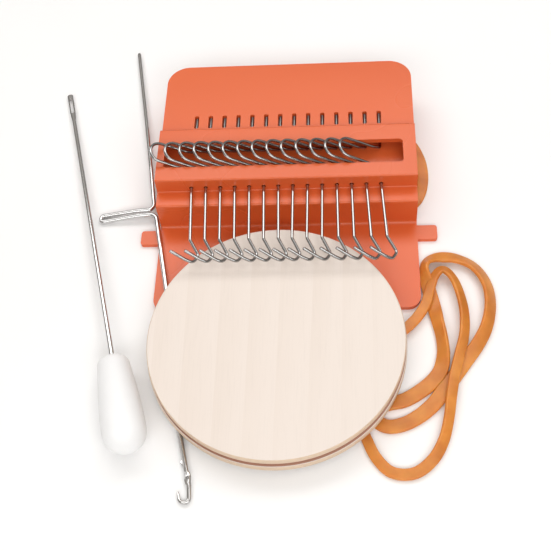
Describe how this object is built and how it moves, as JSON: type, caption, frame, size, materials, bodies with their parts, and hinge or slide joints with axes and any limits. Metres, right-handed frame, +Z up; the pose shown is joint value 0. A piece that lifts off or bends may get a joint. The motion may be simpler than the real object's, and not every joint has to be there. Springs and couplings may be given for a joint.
{
  "type": "darning loom kit",
  "caption": "Small mending loom: stepped plastic plate with a row of turning wire hooks, grooved wooden disc, rubber bands, latch hook tool and needle with a guard",
  "frame": {"origin": "middle of the laid-out kit's outline from above, on the surface that it lies on", "axes": "+X to the right across the row of hooks, +Y away from the user, from the hooks to the plate's deck, +Z up"},
  "size_m": [0.1408, 0.1688, 0.0213],
  "materials": {
    "orange_plastic": "moulded, semi-gloss",
    "steel_wire": "bright drawn wire",
    "pale_wood": "fine sanded, unvarnished",
    "white_rubber": "soft matte",
    "amber_rubber": "natural rubber, slightly translucent"
  },
  "bodies": {
    "plate": {"hook_plate": "orange_plastic", "rubber_band_outer": "amber_rubber", "rubber_band_inner": "amber_rubber", "rubber_band_small": "amber_rubber"},
    "hook_01": {"hook_01": "steel_wire"},
    "hook_02": {"hook_02": "steel_wire"},
    "hook_03": {"hook_03": "steel_wire"},
    "hook_04": {"hook_04": "steel_wire"},
    "hook_05": {"hook_05": "steel_wire"},
    "hook_06": {"hook_06": "steel_wire"},
    "hook_07": {"hook_07": "steel_wire"},
    "hook_08": {"hook_08": "steel_wire"},
    "hook_09": {"hook_09": "steel_wire"},
    "hook_10": {"hook_10": "steel_wire"},
    "hook_11": {"hook_11": "steel_wire"},
    "hook_12": {"hook_12": "steel_wire"},
    "hook_13": {"hook_13": "steel_wire"},
    "hook_14": {"hook_14": "steel_wire"},
    "disc": {"wooden_disc": "pale_wood"},
    "tool": {"latch_tool": "steel_wire", "latch_pin": "steel_wire"},
    "latch": {"latch": "steel_wire"},
    "needle": {"needle": "steel_wire"},
    "guard": {"needle_guard": "white_rubber"}
  },
  "joints": [
    {"name": "hook_01_turn", "type": "hinge", "parent": "plate", "child": "hook_01", "pos_m": [-0.02073, 0.01274, 0.0137], "axis": [0, 1, 0], "range_deg": [0, 115]},
    {"name": "hook_02_turn", "type": "hinge", "parent": "plate", "child": "hook_02", "pos_m": [-0.01623, 0.01274, 0.0137], "axis": [0, 1, 0], "range_deg": [0, 115]},
    {"name": "hook_03_turn", "type": "hinge", "parent": "plate", "child": "hook_03", "pos_m": [-0.01173, 0.01274, 0.0137], "axis": [0, 1, 0], "range_deg": [0, 115]},
    {"name": "hook_04_turn", "type": "hinge", "parent": "plate", "child": "hook_04", "pos_m": [-0.00723, 0.01274, 0.0137], "axis": [0, 1, 0], "range_deg": [0, 115]},
    {"name": "hook_05_turn", "type": "hinge", "parent": "plate", "child": "hook_05", "pos_m": [-0.00273, 0.01274, 0.0137], "axis": [0, 1, 0], "range_deg": [0, 115]},
    {"name": "hook_06_turn", "type": "hinge", "parent": "plate", "child": "hook_06", "pos_m": [0.00177, 0.01274, 0.0137], "axis": [0, 1, 0], "range_deg": [0, 115]},
    {"name": "hook_07_turn", "type": "hinge", "parent": "plate", "child": "hook_07", "pos_m": [0.00627, 0.01274, 0.0137], "axis": [0, 1, 0], "range_deg": [0, 115]},
    {"name": "hook_08_turn", "type": "hinge", "parent": "plate", "child": "hook_08", "pos_m": [0.01077, 0.01274, 0.0137], "axis": [0, 1, 0], "range_deg": [0, 115]},
    {"name": "hook_09_turn", "type": "hinge", "parent": "plate", "child": "hook_09", "pos_m": [0.01527, 0.01274, 0.0137], "axis": [0, 1, 0], "range_deg": [0, 115]},
    {"name": "hook_10_turn", "type": "hinge", "parent": "plate", "child": "hook_10", "pos_m": [0.01977, 0.01274, 0.0137], "axis": [0, 1, 0], "range_deg": [0, 115]},
    {"name": "hook_11_turn", "type": "hinge", "parent": "plate", "child": "hook_11", "pos_m": [0.02427, 0.01274, 0.0137], "axis": [0, 1, 0], "range_deg": [0, 115]},
    {"name": "hook_12_turn", "type": "hinge", "parent": "plate", "child": "hook_12", "pos_m": [0.02877, 0.01274, 0.0137], "axis": [0, 1, 0], "range_deg": [0, 115]},
    {"name": "hook_13_turn", "type": "hinge", "parent": "plate", "child": "hook_13", "pos_m": [0.03327, 0.01274, 0.0137], "axis": [0, 1, 0], "range_deg": [0, 115]},
    {"name": "hook_14_turn", "type": "hinge", "parent": "plate", "child": "hook_14", "pos_m": [0.03777, 0.01274, 0.0137], "axis": [0, 1, 0], "range_deg": [0, 115]},
    {"name": "disc_slide", "type": "slide", "parent": "plate", "child": "disc", "axis": [0.258, -0.9661, 0], "range_m": [0, 0.045]},
    {"name": "tool_slide", "type": "slide", "parent": "plate", "child": "tool", "axis": [0.155, -0.9879, 0], "range_m": [0, 0.015]},
    {"name": "latch_turn", "type": "hinge", "parent": "tool", "child": "latch", "pos_m": [-0.01698, -0.07696, 0.00095], "axis": [0, 0, 1], "range_deg": [0, 104]},
    {"name": "needle_lift", "type": "slide", "parent": "plate", "child": "needle", "axis": [0, 0, 1], "range_m": [0, 0.03]},
    {"name": "guard_slide", "type": "slide", "parent": "needle", "child": "guard", "axis": [0.2578, -0.9653, 0.0404], "range_m": [0, 0.03]}
  ],
  "couplings": [
    {"joint": "hook_02_turn", "follows": "hook_01_turn", "ratio": 1},
    {"joint": "hook_03_turn", "follows": "hook_01_turn", "ratio": 1},
    {"joint": "hook_04_turn", "follows": "hook_01_turn", "ratio": 1},
    {"joint": "hook_05_turn", "follows": "hook_01_turn", "ratio": 1},
    {"joint": "hook_06_turn", "follows": "hook_01_turn", "ratio": 1},
    {"joint": "hook_07_turn", "follows": "hook_01_turn", "ratio": 1},
    {"joint": "hook_08_turn", "follows": "hook_01_turn", "ratio": 1},
    {"joint": "hook_09_turn", "follows": "hook_01_turn", "ratio": 1},
    {"joint": "hook_10_turn", "follows": "hook_01_turn", "ratio": 1},
    {"joint": "hook_11_turn", "follows": "hook_01_turn", "ratio": 1},
    {"joint": "hook_12_turn", "follows": "hook_01_turn", "ratio": 1},
    {"joint": "hook_13_turn", "follows": "hook_01_turn", "ratio": 1},
    {"joint": "hook_14_turn", "follows": "hook_01_turn", "ratio": 1}
  ]
}
